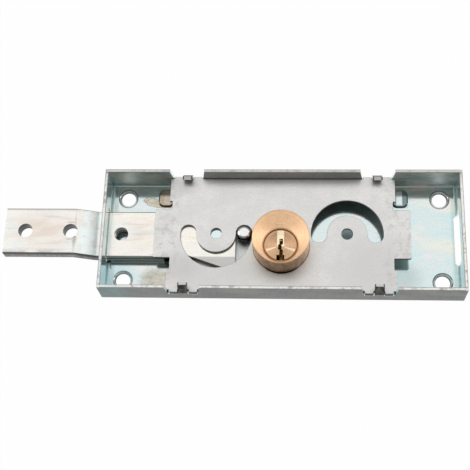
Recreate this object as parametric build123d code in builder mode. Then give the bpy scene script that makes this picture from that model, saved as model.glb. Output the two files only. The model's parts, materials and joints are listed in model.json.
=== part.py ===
from build123d import *
import math
import os

# Roller shutter lock with a joggled side bolt, drawn lying on its back, bolt drawn in.
# X runs along the case with the bolt leaving at -X, Y across it, Z towards the key.
# The origin is the middle of the four fixing holes, on the back face. All sizes are in mm.

# Case: one folded sheet tray
case_length = 170.0
case_width = 60.0
case_height = 17.0
sheet = 1.5
bend_radius = 1.0
corner_gap = 0.3

# Fixing holes in the back of the case, countersunk from the inside
fixing_inset_x = 9.3
fixing_inset_y = 8.95
fixing_hole_radius = 3.5
fixing_sink_radius = 4.6
sink_angle = 90

# Openings in the end walls that let the bolt out on either side
end_slot_width = 26.0
end_slot_inner_width = 23.2
end_slot_top = 10.0
end_slot_reach = 3.0

# Stiffening bosses pressed up out of the back, beside the ends of the cover
boss_x = 56.7
boss_y = 21.4
boss_length = 8.0
boss_width = 9.6
boss_height = 1.2
boss_corner = 3.0
boss_slope = 0.7

# Cover plate, its tongues over the bolt, the notches at their roots and its ears
cover_top = 9.65
cover_sheet = 1.5
cover_length = 108.0
cover_gap = 0.2
tongue_length = 6.8
tongue_width = 24.6
tongue_corner = 0.8
root_notch_depth = 1.3
root_notch_north = 4.2
root_notch_south = 5.6
ear_x = 45.5
ear_width = 13.3
ear_set_back = 0.5
ear_depth = 4.0

# Notches in the long walls that carry the ears, and the tabs bent over them
notch_width = 13.8
notch_top_width = 16.5
tab_width = 4.5
tab_gap = 0.3
tab_straight = 1.7
tab_rise = 4.1
tab_lean = 31

# Crank: pivots, pin circle and the arc slots of the cover
pivot_spacing = 62.0
crank_radius = 13.3
arc_slot_width = 7.6
arc_slot_overrun = 2.0
pivot_hole_radius = 2.7
pin_head_radius = 3.55
pin_head_height = 3.3
pin_head_round = 1.7
pin_shank_radius = 2.0
pin_rivet_radius = 1.6

# Lock cylinder: round body with the plug set off its middle
cylinder_y = -6.1
cylinder_radius = 13.25
cylinder_face = 22.3
cylinder_edge = 0.25
neck_set_in = 0.4
cylinder_hole_gap = 0.45
relief_depth = 0.6
relief_width = 16.0
plug_offset = -4.4
plug_head_radius = 7.8
plug_head_gap = 0.08
plug_head_thickness = 1.65
plug_radius = 7.0
plug_clearance = 0.05
sleeve_wall = 2.25
spine_width = 8.0
spine_inner_y = -1.9
foot_inner_y = 2.2

# Face and keyway of the plug, measured from its axis
plug_edge = 0.35
dish_radius = 7.1
dish_floor_radius = 1.0
dish_depth = 0.55
guide_width = 3.4
guide_depth = 1.0
guide_end = -0.5
keyway_width = 1.6
keyway_shift = 0.3
keyway_top = 3.4
keyway_bottom = -4.8
keyway_depth = 16.0
keyway_wards = 3
mouth_width = 3.6
mouth_depth = 8.0

# Tail of the plug and the ring that keeps the plug in its body
tail_radius = 4.0
tail_flat = 3.0
pilot_radius = 3.0
pilot_end = 0.3
ring_thickness = 0.75
ring_groove_depth = 0.8
ring_width = 2.1
ring_opening = 5.0

# Pin tumblers
tumbler_count = 5
tumbler_pitch = 2.9
first_tumbler_depth = 2.7
tumbler_radius = 1.0
key_pin_lengths = [4.6, 5.4, 4.2, 5.8, 5.0]
key_pin_tip = 0.5
chamber_end = 0.8
driver_length = 3.5
driver_round = 0.25
spring_wire_radius = 0.14
spring_turns = 4
stopper_length = 1.8
stopper_set_in = 0.2

# Screw that holds the cylinder to the back
screw_y = 4.5
screw_radius = 1.5
screw_head_radius = 2.9
screw_tip = 6.3
driver_slot_width = 0.8
driver_slot_depth = 0.5

# Gear train between plug and crank
pinion_teeth = 16
wheel_teeth = 32
gear_thickness = 2.4
addendum_factor = 0.8
dedendum_factor = 1.05
pressure_angle = 20
backlash = 0.24

# Rivet that carries the crank wheel
axle_radius = 3.0
axle_head_radius = 5.0
axle_head_thickness = 0.65
axle_foot_radius = 3.9

# Bolt: flat bar, joggled outside the case, with a thinned yoke inside
bar_width = 23.0
bar_thickness = 6.0
bar_edge = 0.5
bar_end_x = -132.6
joggle_outer_x = -98.9
joggle_inner_x = -88.7
joggle_rise = 4.05
joggle_radius = 6.0
bar_hole_radius = 3.5
bar_hole_outer_x = -122.6
bar_hole_inner_x = -100.8
tapped_hole_radius = 3.4
tapped_hole_x = -76.8
yoke_thickness = 3.0
yoke_step_x = -56.2
yoke_slot_west = -21.8
yoke_slot_corner = 0.8
yoke_waist_y = -10.2
yoke_flare_x = -45.4
yoke_flare_end_x = -21.4
yoke_south = -18.7
bolt_travel = 27.86

# Clearances
fit_clearance = 0.03
running_clearance = 0.06
running_gap = 0.1
gear_floor_gap = 0.25
sleeve_gap = 0.2
yoke_clearance = 0.4

# Heights, from the back face up
floor = sheet
cover_under = cover_top - cover_sheet
bolt_top = cover_under - running_gap
bar_middle = bolt_top - bar_thickness / 2
yoke_bottom = bolt_top - yoke_thickness
gear_bottom = floor + gear_floor_gap
gear_top = gear_bottom + gear_thickness
axle_head_bottom = gear_top + running_gap
plug_end = gear_top + sleeve_gap
ring_bottom = plug_end + sleeve_gap
ring_top = ring_bottom + ring_thickness
sleeve_bottom = ring_top + running_gap
body_bottom = cover_under + running_gap / 2
neck_top = cover_top + running_gap
pin_head_bottom = cover_under + running_gap
plug_head_bottom = cylinder_face - plug_head_thickness

# Places worked out from the sizes above
plug_y = cylinder_y + plug_offset
pivot_x = pivot_spacing / 2
pin_x = crank_radius - pivot_x
fixing_spacing_x = case_length - 2 * fixing_inset_x
fixing_spacing_y = case_width - 2 * fixing_inset_y
wall_inner_x = case_length / 2 - sheet
wall_inner_y = case_width / 2 - sheet
sleeve_radius = plug_radius + sleeve_wall
neck_radius = cylinder_radius - neck_set_in
spine_outer_y = cylinder_y + neck_radius
bore_radius = plug_radius + plug_clearance
chamber_radius = tumbler_radius + plug_clearance
shear_line = math.sqrt(plug_radius**2 - tumbler_radius**2) - fit_clearance
driver_inner = plug_y + bore_radius + fit_clearance
driver_outer = driver_inner + driver_length
stopper_outer = spine_outer_y - stopper_set_in
stopper_inner = stopper_outer - stopper_length
tumbler_heights = [
    cylinder_face - first_tumbler_depth - index * tumbler_pitch for index in range(tumbler_count)
]

# The bolt advances evenly with the key while the crank pin runs on a circle,
# so the yoke slot is wider than the pin by the lead and lag between the two.
travel_per_radian = bolt_travel / math.pi
lead_angle = math.asin(travel_per_radian / crank_radius)
pin_lead = crank_radius * (math.cos(lead_angle) - 1) + travel_per_radian * lead_angle
yoke_slot_east = pin_x + pin_shank_radius + pin_lead + yoke_clearance
yoke_slot_north = pin_shank_radius + yoke_clearance
yoke_slot_south = -(crank_radius + pin_shank_radius + yoke_clearance)
yoke_east = -(sleeve_radius + yoke_clearance)

# Gear train: the module follows from the centre distance and the teeth
centre_distance = math.hypot(pivot_x, plug_y)
gear_module = 2 * centre_distance / (pinion_teeth + wheel_teeth)
mesh_angle = math.degrees(math.atan2(plug_y, pivot_x))

os.makedirs("parts", exist_ok=True)


def polar(radius, angle):
    return (radius * math.cos(angle), radius * math.sin(angle))


def involute_turn(base_radius, radius):
    """Turn of an involute between its start on the base circle and a radius."""
    pressure = math.acos(min(1.0, base_radius / radius))
    return math.tan(pressure) - pressure


def gear_outline(teeth, first_tooth_angle):
    """Outline of a spur gear with stub involute teeth, tooth by tooth."""
    pitch_radius = gear_module * teeth / 2
    base_radius = pitch_radius * math.cos(math.radians(pressure_angle))
    tip_radius = pitch_radius + addendum_factor * gear_module
    root_radius = pitch_radius - dedendum_factor * gear_module
    foot_radius = max(base_radius, root_radius)
    middle_radius = (foot_radius + tip_radius) / 2
    half_tooth = math.pi / (2 * teeth) - backlash / (4 * pitch_radius)
    half_base = half_tooth + involute_turn(base_radius, pitch_radius)
    half_foot = half_base - involute_turn(base_radius, foot_radius)
    half_middle = half_base - involute_turn(base_radius, middle_radius)
    half_tip = half_base - involute_turn(base_radius, tip_radius)
    step = 2 * math.pi / teeth
    for tooth in range(teeth):
        centre = math.radians(first_tooth_angle) + tooth * step
        near_foot = polar(foot_radius, centre - half_foot)
        near_tip = polar(tip_radius, centre - half_tip)
        far_tip = polar(tip_radius, centre + half_tip)
        far_foot = polar(foot_radius, centre + half_foot)
        near_root = polar(root_radius, centre - half_foot)
        far_root = polar(root_radius, centre + half_foot)
        next_root = polar(root_radius, centre + step - half_foot)
        if foot_radius > root_radius:
            Line(near_root, near_foot)
            Line(far_foot, far_root)
        ThreePointArc(near_foot, polar(middle_radius, centre - half_middle), near_tip)
        ThreePointArc(near_tip, polar(tip_radius, centre), far_tip)
        ThreePointArc(far_tip, polar(middle_radius, centre + half_middle), far_foot)
        ThreePointArc(far_root, polar(root_radius, centre + step / 2), next_root)


# Room inside the tray
with BuildPart() as tray_room:
    with BuildSketch(Plane.XY.offset(floor)):
        Rectangle(2 * wall_inner_x, 2 * wall_inner_y)
    extrude(amount=case_height)
    fillet(tray_room.edges().group_by(Axis.Z)[0], radius=bend_radius)

# Case
with BuildPart() as case:
    with BuildSketch(Plane.XY):
        Rectangle(case_length, case_width)
    extrude(amount=case_height)
    fillet(case.edges().group_by(Axis.Z)[0], radius=bend_radius + sheet)
    add(tray_room.part, mode=Mode.SUBTRACT)

    # seams beside the end walls, down to the corners drawn in with the back
    with BuildSketch(Plane.XY.offset(bend_radius + sheet)):
        with GridLocations(2 * wall_inner_x + sheet, 2 * wall_inner_y - corner_gap, 2, 2):
            Rectangle(2 * sheet, corner_gap)
    extrude(amount=case_height, mode=Mode.SUBTRACT)

    # notches for the ears of the cover, in both long walls
    with BuildSketch(Plane.XZ):
        with Locations((-ear_x, 0), (ear_x, 0)):
            Polygon(
                (-notch_width / 2, cover_under),
                (notch_width / 2, cover_under),
                (notch_top_width / 2, case_height),
                (-notch_top_width / 2, case_height),
                align=None,
            )
    extrude(amount=case_width, both=True, mode=Mode.SUBTRACT)

    # tabs that stand in the notches and lean over the cover
    lean_in = tab_rise * math.tan(math.radians(tab_lean))
    lean_step = sheet * math.tan(math.radians(tab_lean)) / 2
    tab_knee = cover_under + tab_straight
    for tab_x in (-ear_x, ear_x):
        for side in (-1, 1):
            outer_y = side * case_width / 2
            inner_y = side * wall_inner_y
            with BuildSketch(Plane.YZ.offset(tab_x)):
                Polygon(
                    (outer_y, cover_under - sheet),
                    (outer_y, tab_knee + lean_step),
                    (outer_y - side * lean_in, tab_knee + tab_rise + lean_step),
                    (inner_y - side * lean_in, tab_knee + tab_rise - lean_step),
                    (inner_y, tab_knee - lean_step),
                    (inner_y, cover_under - sheet),
                    align=None,
                )
            extrude(amount=tab_width / 2, both=True)

    # bolt openings through both end walls and the bends below them
    with BuildSketch(Plane.XY):
        for side in (-1, 1):
            Polygon(
                (side * case_length / 2, -end_slot_width / 2),
                (side * wall_inner_x, -end_slot_width / 2),
                (side * (case_length / 2 - end_slot_reach), -end_slot_inner_width / 2),
                (side * (case_length / 2 - end_slot_reach), end_slot_inner_width / 2),
                (side * wall_inner_x, end_slot_width / 2),
                (side * case_length / 2, end_slot_width / 2),
                align=None,
            )
    extrude(amount=floor + bend_radius, mode=Mode.SUBTRACT)
    with BuildSketch(Plane.XY):
        with Locations((-case_length / 2, 0), (case_length / 2, 0)):
            Rectangle(2 * sheet, end_slot_width)
    extrude(amount=end_slot_top, mode=Mode.SUBTRACT)

    # stiffening bosses with sloping sides, hollow from the back
    for boss_side in (-boss_x, boss_x):
        for level, shrink, mode in ((floor, 0, Mode.ADD), (0, boss_slope, Mode.SUBTRACT)):
            foot_length = boss_length - 2 * shrink
            foot_width = boss_width - 2 * shrink
            foot_corner = boss_corner - shrink
            with BuildSketch(Plane((boss_side, boss_y, level))) as boss_foot:
                RectangleRounded(foot_length, foot_width, foot_corner)
            with BuildSketch(Plane((boss_side, boss_y, level + boss_height))) as boss_crown:
                RectangleRounded(
                    foot_length - 2 * boss_slope, foot_width - 2 * boss_slope, foot_corner - boss_slope
                )
            loft(sections=[boss_foot.sketch, boss_crown.sketch], mode=mode)

    # holes in the back: fixing holes from the inside, rivet and screw from outside, plug pilot
    with Locations(Plane.XY.offset(floor)):
        with GridLocations(fixing_spacing_x, fixing_spacing_y, 2, 2):
            CounterSinkHole(fixing_hole_radius, fixing_sink_radius, counter_sink_angle=sink_angle)
    with Locations(Plane((-pivot_x, 0, 0), z_dir=(0, 0, -1))):
        CounterSinkHole(
            axle_radius + fit_clearance,
            axle_foot_radius + fit_clearance,
            depth=floor + sheet,
            counter_sink_angle=sink_angle,
        )
    with Locations(Plane((0, screw_y, 0), z_dir=(0, 0, -1))):
        CounterSinkHole(
            screw_radius + fit_clearance,
            screw_head_radius + fit_clearance,
            depth=floor + sheet,
            counter_sink_angle=sink_angle,
        )
    with Locations((0, plug_y, 0)):
        Hole(pilot_radius + running_clearance)
case.part.label = "case"
export_step(case.part, "parts/case.step")

# Centre lines of the arc slots, both swept by a crank pin turning the same way
with BuildLine() as west_arc:
    CenterArc((-pivot_x, 0), crank_radius, 180 - arc_slot_overrun, 180 + 2 * arc_slot_overrun)
with BuildLine() as east_arc:
    CenterArc((pivot_x, 0), crank_radius, -arc_slot_overrun, 180 + 2 * arc_slot_overrun)

# Relief of the cylinder hole: a flatter arc through the ends of the relief
hole_radius = neck_radius + cylinder_hole_gap
relief_rise = hole_radius + relief_depth - math.sqrt(hole_radius**2 - (relief_width / 2) ** 2)
relief_radius = (relief_rise**2 + (relief_width / 2) ** 2) / (2 * relief_rise)
relief_y = cylinder_y - hole_radius - relief_depth + relief_radius

# Cover plate
with BuildPart() as cover_plate:
    with BuildSketch(Plane.XY.offset(cover_under)) as cover_plan:
        Rectangle(cover_length + 2 * tongue_length, tongue_width)
        fillet(cover_plan.vertices(), radius=tongue_corner)
        Rectangle(cover_length, 2 * (wall_inner_y - cover_gap))
        with GridLocations(2 * ear_x, case_width - 2 * ear_set_back - ear_depth, 2, 2):
            Rectangle(ear_width, ear_depth)
        with GridLocations(2 * ear_x, case_width, 2, 2):
            Rectangle(tab_width + 2 * tab_gap, 2 * (sheet + tab_gap), mode=Mode.SUBTRACT)

        # notches at the roots of the tongues, longer on the south side
        north_notch_y = tongue_width / 2 + root_notch_north / 2
        south_notch_y = -(tongue_width / 2 + root_notch_south / 2)
        with GridLocations(cover_length, 0, 2, 1):
            with Locations((0, north_notch_y)):
                Rectangle(2 * root_notch_depth, root_notch_north, mode=Mode.SUBTRACT)
            with Locations((0, south_notch_y)):
                Rectangle(2 * root_notch_depth, root_notch_south, mode=Mode.SUBTRACT)

        # cylinder hole, pivot holes and arc slots
        with Locations((0, cylinder_y)):
            Circle(hole_radius, mode=Mode.SUBTRACT)
        with Locations((0, relief_y)):
            Circle(relief_radius, mode=Mode.SUBTRACT)
        with GridLocations(pivot_spacing, 0, 2, 1):
            Circle(pivot_hole_radius, mode=Mode.SUBTRACT)
        SlotArc(west_arc.edge(), arc_slot_width, mode=Mode.SUBTRACT)
        SlotArc(east_arc.edge(), arc_slot_width, mode=Mode.SUBTRACT)
    extrude(amount=cover_sheet)
cover_plate.part.label = "cover_plate"
export_step(cover_plate.part, "parts/cover_plate.step")

# Cylinder body
with BuildPart() as cylinder_body:
    with BuildSketch(Plane.XY.offset(neck_top)):
        with Locations((0, cylinder_y)):
            Circle(cylinder_radius)
    extrude(amount=cylinder_face - neck_top)
    chamfer(cylinder_body.edges().group_by(Axis.Z)[-1], length=cylinder_edge)

    # neck in the hole of the cover
    with BuildSketch(Plane.XY.offset(body_bottom)):
        with Locations((0, cylinder_y)):
            Circle(neck_radius)
    extrude(amount=neck_top - body_bottom)

    # sleeve round the plug, spine beside it and foot on the back of the case
    with BuildSketch(Plane.XY.offset(sleeve_bottom)):
        with Locations((0, plug_y)):
            Circle(sleeve_radius)
    extrude(amount=body_bottom - sleeve_bottom)
    for level, top, inner_y in (
        (ring_bottom, body_bottom, spine_inner_y),
        (floor, ring_bottom, foot_inner_y),
    ):
        with BuildSketch(Plane.XY.offset(level)):
            with Locations((0, (inner_y + spine_outer_y) / 2)):
                Rectangle(spine_width, spine_outer_y - inner_y)
            with Locations((0, cylinder_y)):
                Circle(neck_radius, mode=Mode.INTERSECT)
        extrude(amount=top - level)

    # bore, counterbore for the head of the plug, pin chambers and screw hole
    with BuildSketch(Plane.XY.offset(sleeve_bottom)):
        with Locations((0, plug_y)):
            Circle(bore_radius)
    extrude(amount=cylinder_face - sleeve_bottom, mode=Mode.SUBTRACT)
    with BuildSketch(Plane.XY.offset(cylinder_face)):
        with Locations((0, plug_y)):
            Circle(plug_head_radius + plug_head_gap)
    extrude(amount=-plug_head_thickness - plug_clearance, mode=Mode.SUBTRACT)
    for height in tumbler_heights:
        with BuildSketch(Plane((0, plug_y, height), z_dir=(0, 1, 0))):
            Circle(chamber_radius)
        extrude(amount=2 * cylinder_radius, mode=Mode.SUBTRACT)
    with BuildSketch(Plane((0, screw_y, floor))):
        Circle(screw_radius + fit_clearance)
    extrude(amount=screw_tip - floor + sleeve_gap, mode=Mode.SUBTRACT)
cylinder_body.part.label = "cylinder_body"
export_step(cylinder_body.part, "parts/cylinder_body.step")

# Plug of the cylinder
with BuildPart() as cylinder_plug:
    with BuildSketch(Plane((0, plug_y, plug_head_bottom))):
        Circle(plug_head_radius)
    extrude(amount=plug_head_thickness)
    chamfer(cylinder_plug.edges().group_by(Axis.Z)[-1], length=plug_edge)
    with Locations((0, plug_y, cylinder_face - dish_depth / 2)):
        Cone(dish_floor_radius, dish_radius, dish_depth, mode=Mode.SUBTRACT)
    with BuildSketch(Plane((0, plug_y, plug_end))):
        Circle(plug_radius)
    extrude(amount=plug_head_bottom - plug_end)

    # groove for the retaining ring, tail with two flats and pilot
    with BuildSketch(Plane((0, plug_y, ring_bottom - plug_clearance))):
        Circle(2 * plug_radius)
        Circle(plug_radius - ring_groove_depth, mode=Mode.SUBTRACT)
    extrude(amount=ring_thickness + 2 * plug_clearance, mode=Mode.SUBTRACT)
    with BuildSketch(Plane((0, plug_y, gear_bottom))):
        Circle(tail_radius)
        Rectangle(2 * tail_radius, 2 * tail_flat, mode=Mode.INTERSECT)
    extrude(amount=plug_end - gear_bottom)
    with BuildSketch(Plane((0, plug_y, pilot_end))):
        Circle(pilot_radius)
    extrude(amount=gear_bottom - pilot_end)

    # key guide cut in the face, warded keyway and its wider mouth
    with BuildSketch(Plane((0, plug_y, cylinder_face))):
        with Locations((0, (guide_end + plug_head_radius) / 2)):
            Rectangle(guide_width, plug_head_radius - guide_end)
    extrude(amount=-guide_depth, mode=Mode.SUBTRACT)
    ward_height = (keyway_top - keyway_bottom) / keyway_wards
    with BuildSketch(Plane((0, plug_y, cylinder_face))):
        for ward in range(keyway_wards):
            ward_x = keyway_shift * (-1) ** ward
            ward_y = keyway_bottom + (ward + 0.5) * ward_height
            with Locations((ward_x, ward_y)):
                Rectangle(keyway_width, ward_height)
    extrude(amount=-keyway_depth, mode=Mode.SUBTRACT)
    with BuildSketch(Plane((0, plug_y, cylinder_face))):
        with Locations((0, (keyway_bottom - plug_head_radius) / 2)):
            Rectangle(mouth_width, plug_head_radius + keyway_bottom)
    extrude(amount=-mouth_depth, mode=Mode.SUBTRACT)

    # chambers of the key pins
    for height in tumbler_heights:
        with BuildSketch(Plane((0, plug_y + chamber_end, height), z_dir=(0, 1, 0))):
            Circle(chamber_radius)
        extrude(amount=plug_radius, mode=Mode.SUBTRACT)
cylinder_plug.part.label = "cylinder_plug"
export_step(cylinder_plug.part, "parts/cylinder_plug.step")

# Ring that snaps into the groove below the sleeve
with BuildPart() as retaining_ring:
    with BuildSketch(Plane((0, plug_y, ring_bottom))):
        Circle(plug_radius - ring_groove_depth + running_clearance + ring_width)
        Circle(plug_radius - ring_groove_depth + running_clearance, mode=Mode.SUBTRACT)
        with Locations((0, -plug_radius)):
            Rectangle(ring_opening, 2 * plug_radius, mode=Mode.SUBTRACT)
    extrude(amount=ring_thickness)
retaining_ring.part.label = "retaining_ring"
export_step(retaining_ring.part, "parts/retaining_ring.step")

# Tumblers, one set in each chamber: key pin, driver pin, spring and stopper
for index, height in enumerate(tumbler_heights):
    key_pin_bottom = plug_y + shear_line - key_pin_lengths[index % len(key_pin_lengths)]
    with BuildPart() as key_pin:
        with BuildSketch(Plane((0, key_pin_bottom, height), z_dir=(0, 1, 0))):
            Circle(tumbler_radius)
        extrude(amount=plug_y + shear_line - key_pin_bottom)
        chamfer(key_pin.edges().group_by(Axis.Y)[0], length=key_pin_tip)
    key_pin.part.label = f"key_pin_{index + 1}"
    export_step(key_pin.part, f"parts/key_pin_{index + 1}.step")

    with BuildPart() as driver_pin:
        with BuildSketch(Plane((0, driver_inner, height), z_dir=(0, 1, 0))):
            Circle(tumbler_radius)
        extrude(amount=driver_length)
        chamfer(driver_pin.edges().group_by(Axis.Y)[0], length=driver_round)
        chamfer(driver_pin.edges().group_by(Axis.Y)[-1], length=driver_round)
    driver_pin.part.label = f"driver_pin_{index + 1}"
    export_step(driver_pin.part, f"parts/driver_pin_{index + 1}.step")

    spring_space = stopper_inner - driver_outer
    spring_radius = tumbler_radius - spring_wire_radius - fit_clearance
    coil_height = spring_space - 2 * spring_wire_radius
    coil_start = (0, driver_outer + spring_wire_radius, height)
    with BuildPart() as pin_spring:
        with BuildLine() as coil:
            Helix(coil_height / spring_turns, coil_height, spring_radius, coil_start, (0, 1, 0))
        with BuildSketch(Plane(coil.line @ 0, z_dir=coil.line % 0)):
            RegularPolygon(spring_wire_radius, 4)
        sweep(path=coil.line, is_frenet=True)
    pin_spring.part.label = f"pin_spring_{index + 1}"
    export_step(pin_spring.part, f"parts/pin_spring_{index + 1}.step")

    with BuildPart() as stopper:
        with BuildSketch(Plane((0, stopper_inner, height), z_dir=(0, 1, 0))):
            Circle(chamber_radius)
        extrude(amount=stopper_length)
    stopper.part.label = f"chamber_stopper_{index + 1}"
    export_step(stopper.part, f"parts/chamber_stopper_{index + 1}.step")

# Screw through the back of the case into the foot of the cylinder
with BuildPart() as cylinder_screw:
    with BuildSketch(Plane.XY):
        with Locations((0, screw_y)):
            Circle(screw_head_radius)
    extrude(amount=screw_head_radius - screw_radius, taper=sink_angle / 2)
    with BuildSketch(Plane.XY.offset(screw_head_radius - screw_radius)):
        with Locations((0, screw_y)):
            Circle(screw_radius)
    extrude(amount=screw_tip - screw_head_radius + screw_radius)
    chamfer(cylinder_screw.edges().group_by(Axis.Z)[-1], length=driver_round)
    with BuildSketch(Plane.XY):
        with Locations((0, screw_y)):
            Rectangle(2 * screw_head_radius, driver_slot_width)
    extrude(amount=driver_slot_depth, mode=Mode.SUBTRACT)
cylinder_screw.part.label = "cylinder_screw"
export_step(cylinder_screw.part, "parts/cylinder_screw.step")

# Drive pinion on the tail of the plug, a tooth gap facing the crank wheel
with BuildPart() as drive_pinion:
    with BuildSketch(Plane((0, plug_y, gear_bottom))):
        with BuildLine():
            gear_outline(pinion_teeth, mesh_angle + 180 + 180 / pinion_teeth)
        make_face()
        with BuildSketch(mode=Mode.SUBTRACT):
            Circle(tail_radius + fit_clearance)
            Rectangle(3 * tail_radius, 2 * (tail_flat + fit_clearance), mode=Mode.INTERSECT)
    extrude(amount=gear_thickness)
drive_pinion.part.label = "drive_pinion"
export_step(drive_pinion.part, "parts/drive_pinion.step")

# Crank wheel, a tooth facing the pinion
with BuildPart() as crank_wheel:
    with BuildSketch(Plane((-pivot_x, 0, gear_bottom))):
        with BuildLine():
            gear_outline(wheel_teeth, mesh_angle)
        make_face()
        Circle(axle_radius + running_clearance, mode=Mode.SUBTRACT)
        with Locations((crank_radius, 0)):
            Circle(pin_rivet_radius + fit_clearance, mode=Mode.SUBTRACT)
    extrude(amount=gear_thickness)
crank_wheel.part.label = "crank_wheel"
export_step(crank_wheel.part, "parts/crank_wheel.step")

# Crank pin: riveted end, thin shank in the yoke, domed head in the arc slot of the cover
with BuildPart() as crank_pin:
    with BuildSketch(Plane((pin_x, 0, gear_bottom))):
        Circle(pin_rivet_radius)
    extrude(amount=gear_thickness)
    with BuildSketch(Plane((pin_x, 0, gear_top))):
        Circle(pin_shank_radius)
    extrude(amount=pin_head_bottom - gear_top)
    with BuildSketch(Plane((pin_x, 0, pin_head_bottom))):
        Circle(pin_head_radius)
    extrude(amount=pin_head_height)
    fillet(crank_pin.edges().group_by(Axis.Z)[-1], radius=pin_head_round)
crank_pin.part.label = "crank_pin"
export_step(crank_pin.part, "parts/crank_pin.step")

# Rivet that the crank wheel turns on, closed flush with the back
with BuildPart() as wheel_axle:
    with BuildSketch(Plane((-pivot_x, 0, 0))):
        Circle(axle_foot_radius)
    extrude(amount=axle_foot_radius - axle_radius, taper=sink_angle / 2)
    with BuildSketch(Plane((-pivot_x, 0, 0))):
        Circle(axle_radius)
    extrude(amount=axle_head_bottom)
    with BuildSketch(Plane((-pivot_x, 0, axle_head_bottom))):
        Circle(axle_head_radius)
    extrude(amount=axle_head_thickness)
    chamfer(wheel_axle.edges().group_by(Axis.Z)[-1], length=axle_head_thickness / 2)
wheel_axle.part.label = "wheel_axle"
export_step(wheel_axle.part, "parts/wheel_axle.step")

# Middle line of the bar, with the joggle that lifts its outer end
with BuildLine(Plane.XZ) as bar_line:
    FilletPolyline(
        (bar_end_x, bar_middle + joggle_rise),
        (joggle_outer_x, bar_middle + joggle_rise),
        (joggle_inner_x, bar_middle),
        (yoke_step_x, bar_middle),
        radius=joggle_radius,
    )

# Bolt bar with its yoke
with BuildPart() as bolt_bar:
    with BuildSketch(Plane(bar_line.line @ 0, x_dir=(0, 1, 0), z_dir=bar_line.line % 0)):
        RectangleRounded(bar_width, bar_thickness, bar_edge)
    sweep(path=bar_line.line)
    with BuildSketch(Plane.XY.offset(yoke_bottom)):
        Polygon(
            (yoke_step_x, bar_width / 2),
            (yoke_east, bar_width / 2),
            (yoke_east, yoke_south),
            (yoke_flare_end_x, yoke_south),
            (yoke_flare_x, yoke_waist_y),
            (yoke_step_x, yoke_waist_y),
            align=None,
        )
    extrude(amount=yoke_thickness)
    with BuildSketch(Plane.XY.offset(yoke_bottom)) as yoke_slot:
        with Locations(((yoke_slot_west + yoke_slot_east) / 2, (yoke_slot_north + yoke_slot_south) / 2)):
            Rectangle(yoke_slot_east - yoke_slot_west, yoke_slot_north - yoke_slot_south)
        fillet(yoke_slot.vertices(), radius=yoke_slot_corner)
    extrude(amount=yoke_thickness, mode=Mode.SUBTRACT)
    with Locations((bar_hole_outer_x, 0, bolt_top), (bar_hole_inner_x, 0, bolt_top)):
        Hole(bar_hole_radius)
    with Locations((tapped_hole_x, 0, bolt_top)):
        Hole(tapped_hole_radius)
bolt_bar.part.label = "bolt_bar"
export_step(bolt_bar.part, "parts/bolt_bar.step")
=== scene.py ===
import json
import math

import bmesh
import bpy
from bpy.props import FloatProperty, FloatVectorProperty, IntProperty, PointerProperty
from mathutils import Euler, Matrix, Vector


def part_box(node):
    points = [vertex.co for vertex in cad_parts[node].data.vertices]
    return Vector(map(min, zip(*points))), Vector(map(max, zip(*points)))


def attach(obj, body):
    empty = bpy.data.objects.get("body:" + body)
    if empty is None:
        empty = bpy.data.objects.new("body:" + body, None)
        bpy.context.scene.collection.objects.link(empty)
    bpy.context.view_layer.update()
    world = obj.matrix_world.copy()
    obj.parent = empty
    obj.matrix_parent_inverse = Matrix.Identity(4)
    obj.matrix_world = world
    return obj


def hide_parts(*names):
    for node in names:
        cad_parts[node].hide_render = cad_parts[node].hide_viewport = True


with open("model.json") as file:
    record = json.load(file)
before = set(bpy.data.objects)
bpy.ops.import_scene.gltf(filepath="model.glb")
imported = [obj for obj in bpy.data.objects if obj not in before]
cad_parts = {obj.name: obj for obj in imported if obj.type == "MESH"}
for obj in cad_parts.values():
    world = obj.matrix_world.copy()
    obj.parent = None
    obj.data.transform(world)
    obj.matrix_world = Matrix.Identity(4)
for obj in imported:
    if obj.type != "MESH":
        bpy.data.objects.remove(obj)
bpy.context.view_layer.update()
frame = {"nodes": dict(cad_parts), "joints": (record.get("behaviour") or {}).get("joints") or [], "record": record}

bl_info = {
    "name": "Roller Shutter Lock",
    "version": (1, 0, 0),
    "blender": (4, 5, 0),
    "location": "View3D > Sidebar > Shutter Lock",
    "description": "Finishes the pieces of a roller shutter lock and sets up a studio around it",
    "category": "Object",
}

MM = 0.001
NODES = frame["nodes"]
JOINTS = {joint["name"]: joint for joint in frame["joints"]}
MOUNTS = {mount["name"]: mount for mount in frame["record"]["mounts"]}


def millimetres(lengths):
    """Lengths of the frame, which come in metres, as millimetres."""
    return [round(length / MM, 3) for length in lengths]


# Places on the lock that its finishes and small pieces follow, in millimetres

CASE_END, CASE_SIDE, CASE_TOP = millimetres(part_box("case")[1])
COVER_UNDERSIDE = millimetres(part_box("cover_plate")[0])[2]
COVER_TOP = millimetres(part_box("cover_plate")[1])[2]
SHEET = round(COVER_TOP - COVER_UNDERSIDE, 3)
FIXING_HOLE_X = MOUNTS["fixing_holes"]["dims"]["spacing_x_mm"] / 2
FIXING_HOLE_Y = MOUNTS["fixing_holes"]["dims"]["spacing_y_mm"] / 2
HOLE_LIP_RADIUS = MOUNTS["fixing_holes"]["dims"]["hole_r_mm"] + 0.05
COUNTERSINK_RADIUS = 4.65
TAB_X = 45.5
TAB_WIDTH = 4.5
BOSS_X = 56.7
BOSS_Y = 21.4
PIVOT_X = millimetres(JOINTS["crank_turn"]["pos_m"])[0]
PLUG_Y = millimetres(JOINTS["key_turn"]["pos_m"])[1]
PLUG_SEAM_RADIUS = 7.84
BARREL_Y = millimetres(MOUNTS["cylinder_barrel"]["pos_m"])[1]
BARREL_FACE = millimetres(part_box("cylinder_body")[1])[2]
TUMBLERS = sum(node.startswith("key_pin_") for node in NODES)

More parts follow.
